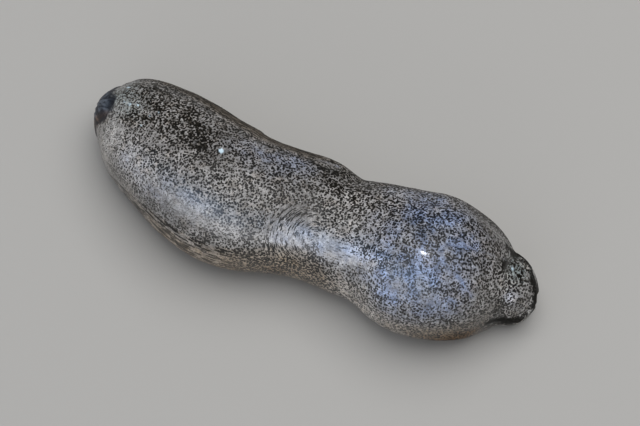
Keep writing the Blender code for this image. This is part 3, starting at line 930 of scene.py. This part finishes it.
def wet_gloss(tree, place, disc):
    """Joins the skin's roughness, mirror strength, coat and fine relief to its shader."""
    matt = tree.math("MAXIMUM", tree.field("matt"), tree.times(disc, DISC_MATT))
    ripple = {"Height": tree.noise(place, RIPPLE_NOISE), "Strength": 1.0}
    under = tree.node("ShaderNodeBump", {**ripple, "Distance": UNDER_RELIEF}).outputs[0]
    over = tree.node("ShaderNodeBump", {**ripple, "Distance": COAT_RELIEF}).outputs[0]
    fine = {"Height": tree.noise(place, FINE_NOISE, detail=1.0), "Strength": FINE_STRENGTH}
    fine.update({"Distance": FINE_RELIEF, "Normal": under})
    for name, value in (
        ("Roughness", tree.plus(tree.times(matt, MATT_ROUGHNESS), WET_ROUGHNESS)),
        ("Specular IOR Level", tree.minus(WET_MIRROR, tree.times(matt, MATT_MIRROR))),
        ("Coat Weight", tree.minus(WET_COAT, tree.times(matt, WET_COAT))),
        ("Normal", tree.node("ShaderNodeBump", fine).outputs[0]),
        ("Coat Normal", over),
    ):
        tree.links.new(value, tree.shader.inputs[name])
    tree.shader.inputs["Coat Roughness"].default_value = COAT_ROUGHNESS
    tree.shader.inputs["Coat IOR"].default_value = WATER_IOR


def skin_material():
    """Wet skin: ground under flecks, stains and painted shade, painted glints, the disc and beads of water.
    """
    tree = Tree("wet_flecked_skin")
    place = tree.node("ShaderNodeTexCoord").outputs["Object"]
    teal, disc = tree.field("teal"), tree.field("disc")
    violet_sheen = tree.times(tree.field("violet_sheen"), tree.uneven(place, *VIOLET_SHEEN_SHARE))
    fleck, ink = fleck_marks(tree, place, violet_sheen)
    colour = tree.mix(fleck, ground_colour(tree, place, violet_sheen, teal), ink)
    # Stains and painted shade in creases and under the tail, broken by noise.
    broken = tree.times(tree.minus(tree.noise(place, STAIN_AND_SHADE_NOISE), 0.5), STAIN_AND_SHADE_BREAK)
    dark = tree.ramp(tree.plus(tree.field("dark"), broken), *STAIN_AND_SHADE_EDGE, 0.0, STAIN_AND_SHADE_MOST)
    colour = tree.mix(dark, colour, STAIN_AND_SHADE)
    # Painted glints scattered over the teal cast.
    glints = tree.times(tree.ramp(tree.cells(place, PAINTED_TEAL_GLINTS), *GLINT_EDGE), teal)
    colour = tree.mix(glints, colour, PAINTED_TEAL_GLINT)
    colour = tree.mix(disc, colour, disc_colour(tree))
    # Each bead of water carries a painted white glint.
    colour = tree.mix(tree.field("bead_glint"), colour, BEAD_GLINT_WHITE)
    tree.links.new(colour, tree.shader.inputs["Base Color"])
    wet_gloss(tree, place, disc)
    return tree.material


def area_light(name, direction, distance, size, power, colour, lights):
    """A rectangular lamp in a direction from the body and facing it."""
    data = bpy.data.lights.new(name, "AREA")
    data.shape = "RECTANGLE"
    data.size, data.size_y = size
    data.energy, data.color = power, colour
    lamp = bpy.data.objects.new(name, data)
    away = Vector(direction).normalized()
    lamp.location = away * distance
    lamp.rotation_euler = away.to_track_quat("Z", "Y").to_euler()
    lamp.visible_diffuse, lamp.visible_glossy = lights == "skin", lights == "gloss"
    bpy.context.scene.collection.objects.link(lamp)


def make_studio():
    """A plain pale floor, the lamps, and a soft light from all round."""
    half, level = FLOOR_HALF, FLOOR_LEVEL
    corners = [(-half, -half, level), (half, -half, level), (half, half, level), (-half, half, level)]
    mesh = bpy.data.meshes.new("floor")
    mesh.from_pydata(corners, [], [(0, 1, 2, 3)])
    floor = bpy.data.objects.new("floor", mesh)
    bpy.context.scene.collection.objects.link(floor)
    tree = Tree("pale_floor")
    tree.shader.inputs["Base Color"].default_value = FLOOR_GREY
    tree.shader.inputs["Roughness"].default_value = FLOOR_ROUGHNESS
    floor.data.materials.append(tree.material)

    for lamp in LAMPS:
        area_light(*lamp)
    world = bpy.data.worlds.new("studio")
    bpy.context.scene.world = world
    world.use_nodes = True
    world.node_tree.nodes["Background"].inputs["Color"].default_value = STUDIO_WHITE
    world.node_tree.nodes["Background"].inputs["Strength"].default_value = DAYLIGHT
    world.cycles_visibility.glossy = False
    bpy.context.scene.view_settings.view_transform = "Standard"


def make_camera():
    """A camera where the photograph was taken from."""
    data = bpy.data.cameras.new("camera")
    data.lens, data.sensor_width, data.sensor_fit = LENS, SENSOR, "HORIZONTAL"
    camera = bpy.data.objects.new("camera", data)
    a, e = math.radians(AZIMUTH), math.radians(ELEVATION)
    back = Vector((math.sin(a) * math.cos(e), -math.cos(a) * math.cos(e), math.sin(e)))
    distance = PIXELS_ACROSS * MM_PER_PIXEL * LENS / SENSOR
    camera.location = (Vector(LOOK_AT) + back * distance) * MM
    camera.rotation_euler = (-back).to_track_quat("-Z", "Y").to_euler()
    bpy.context.scene.collection.objects.link(camera)
    bpy.context.scene.camera = camera


make_camera()
make_studio()
skin = make_skin()
skin.data.materials.append(skin_material())
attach(skin, "root")
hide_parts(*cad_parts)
